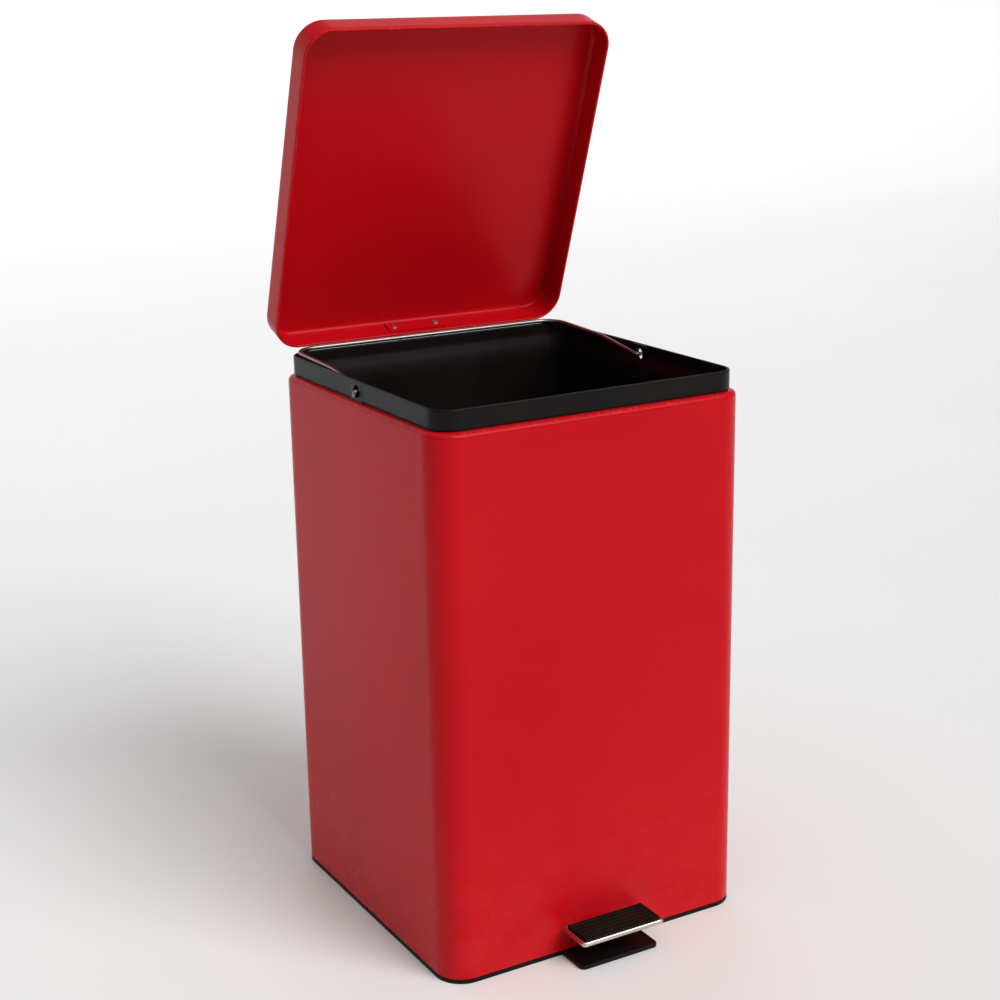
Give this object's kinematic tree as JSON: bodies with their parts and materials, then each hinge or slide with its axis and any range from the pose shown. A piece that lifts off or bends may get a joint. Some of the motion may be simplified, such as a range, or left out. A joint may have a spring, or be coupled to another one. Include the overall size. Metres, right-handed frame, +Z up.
{
  "type": "step-on waste can",
  "caption": "Square enamelled steel waste can with a foot pedal, a hinged lid raised by a lever and lift rod, and a lift-out plastic liner with a wire bail.",
  "frame": {"origin": "on the floor, in the underside of the base ring, below the middle of the body", "axes": "+Z up, +Y towards the hinge at the back, +X to the right of someone at the pedal"},
  "size_m": [0.301, 0.3705, 0.786],
  "materials": {
    "red_enamel": "semi-gloss red baked enamel on sheet steel, with a faint orange peel",
    "base_plastic": "black moulded polypropylene with a fine spark grain",
    "liner_plastic": "glossy black moulded polypropylene with soft moulding ripple",
    "bright_wire": "bright plated wire with faint drawing marks",
    "chrome_plate": "bright plated pressing, lightly scuffed on its edges",
    "rubber": "matt black moulded rubber, dusty in its grooves",
    "zinc_steel": "zinc plated steel with a mottled satin sheen",
    "black_steel": "black painted steel strip, rubbed at its edges"
  },
  "bodies": {
    "can": {"outer_shell": "red_enamel", "base_tray": "base_plastic", "grip_pads": "rubber", "base_screws": "zinc_steel", "anti_tip_foot": "base_plastic", "foot_screws": "zinc_steel", "liner_bucket": "liner_plastic", "body_hinge_bracket": "zinc_steel", "hinge_bracket_rivets": "zinc_steel", "hinge_pin": "zinc_steel", "hinge_pin_clips": "zinc_steel", "lower_rod_guide": "base_plastic", "upper_rod_guide": "base_plastic", "rod_guide_rivets": "zinc_steel", "pedal_pivot_bracket": "zinc_steel", "pivot_bracket_screws": "zinc_steel", "pedal_pivot_pin": "zinc_steel", "pivot_pin_clips": "zinc_steel"},
    "bail": {"bail_handle": "bright_wire"},
    "lid": {"lid_pan": "red_enamel", "lid_backing_plate": "red_enamel", "lid_lever_bracket": "zinc_steel", "lid_rivets": "zinc_steel"},
    "rod": {"lift_rod": "bright_wire", "rod_push_nuts": "zinc_steel"},
    "pedal": {"pedal_lever": "black_steel", "pedal_plate": "chrome_plate", "pedal_tread": "rubber", "pedal_rivets": "zinc_steel"}
  },
  "joints": [
    {"name": "lid_hinge", "type": "hinge", "parent": "can", "child": "lid", "pos_m": [0, 0.167, 0.481], "axis": [-1, 0, 0], "range_deg": [-70, 0]},
    {"name": "pedal_hinge", "type": "hinge", "parent": "can", "child": "pedal", "pos_m": [0, -0.01, 0.0115], "axis": [-1, 0, 0], "range_deg": [0, 4.81]},
    {"name": "lift_rod_slide", "type": "slide", "parent": "can", "child": "rod", "axis": [0, 0, 1], "range_m": [-0.01401, 0]},
    {"name": "bail_swing", "type": "hinge", "parent": "can", "child": "bail", "pos_m": [0, 0, 0.4855], "axis": [1, 0, 0], "range_deg": [0, 170]}
  ],
  "couplings": [
    {"joint": "pedal_hinge", "follows": "lid_hinge", "ratio": -0.068658},
    {"joint": "lift_rod_slide", "follows": "lid_hinge", "m_per_rad": 0.011463}
  ]
}
